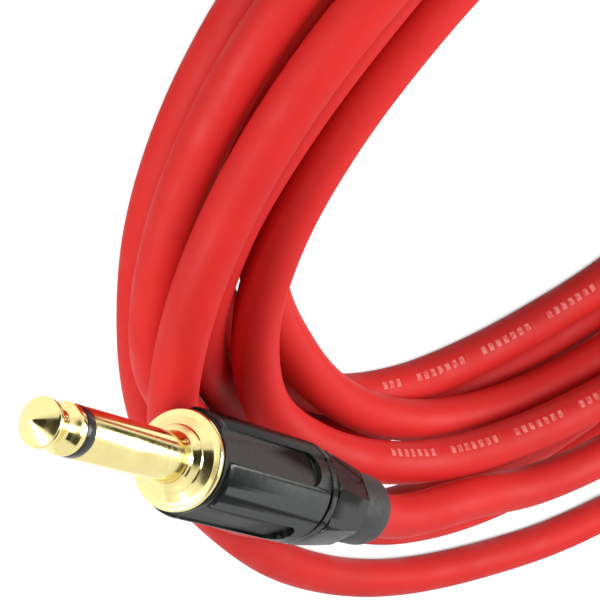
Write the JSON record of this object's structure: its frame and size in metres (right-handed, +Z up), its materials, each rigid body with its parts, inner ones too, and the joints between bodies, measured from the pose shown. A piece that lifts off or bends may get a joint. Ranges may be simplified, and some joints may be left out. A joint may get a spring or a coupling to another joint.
{
  "type": "instrument cable",
  "caption": "Coiled round instrument cable with a straight two-contact phone plug on each end: gold shaft and flange, dark fluted screw-on shell and rubber boot.",
  "frame": {"origin": "on the surface that the cable lies on, midway between the two plugs", "axes": "+Z up; plug b points along -X; plug a points along -Y, 13 degrees toward +X"},
  "size_m": [0.1708, 0.2045, 0.0349],
  "materials": {
    "gold": "polished gold plate",
    "black_plastic": "smooth moulded insulator",
    "steel": "tinned spring strip",
    "fibre": "pressed fibre",
    "red_jacket": "satin flexible PVC",
    "copper": "bare copper strand",
    "white_core": "polyethylene insulation",
    "solder": "solder",
    "liner": "thin insulating tube",
    "boot": "matte moulded rubber",
    "shell": "satin black-chrome metal"
  },
  "bodies": {
    "cable": {"tip_a": "gold", "insulator_a": "black_plastic", "sleeve_a": "gold", "washer_a": "black_plastic", "ground_lug_a": "steel", "fibre_washer_a": "fibre", "tip_lug_a": "steel", "jacket_a": "red_jacket", "screen_a": "copper", "core_a": "white_core", "conductor_a": "copper", "tip_solder_a": "solder", "ground_solder_a": "solder", "tip_b": "gold", "insulator_b": "black_plastic", "sleeve_b": "gold", "washer_b": "black_plastic", "ground_lug_b": "steel", "fibre_washer_b": "fibre", "tip_lug_b": "steel", "jacket_b": "red_jacket", "screen_b": "copper", "core_b": "white_core", "conductor_b": "copper", "tip_solder_b": "solder", "ground_solder_b": "solder", "coil": "red_jacket", "lead_b": "red_jacket"},
    "rear_a": {"liner_a": "liner", "boot_a": "boot"},
    "shell_a": {"shell_a": "shell"},
    "rear_b": {"liner_b": "liner", "boot_b": "boot"},
    "shell_b": {"shell_b": "shell"}
  },
  "joints": [
    {"name": "shell_a_back", "type": "slide", "parent": "cable", "child": "rear_a", "axis": [-0.2246, 0.9729, -0.0558], "range_m": [0, 0.006]},
    {"name": "shell_a_turn", "type": "hinge", "parent": "rear_a", "child": "shell_a", "pos_m": [0.07111, -0.04924, 0.02688], "axis": [-0.2246, 0.9729, -0.0558], "range_deg": [0, 2160]},
    {"name": "shell_b_back", "type": "slide", "parent": "cable", "child": "rear_b", "axis": [1, 0, 0], "range_m": [0, 0.006]},
    {"name": "shell_b_turn", "type": "hinge", "parent": "rear_b", "child": "shell_b", "pos_m": [-0.0345, 0.0913, 0.0071], "axis": [1, 0, 0], "range_deg": [0, 2160]}
  ],
  "couplings": [
    {"joint": "shell_a_back", "follows": "shell_a_turn", "m_per_rad": 0.00015915},
    {"joint": "shell_b_back", "follows": "shell_b_turn", "m_per_rad": 0.00015915}
  ]
}
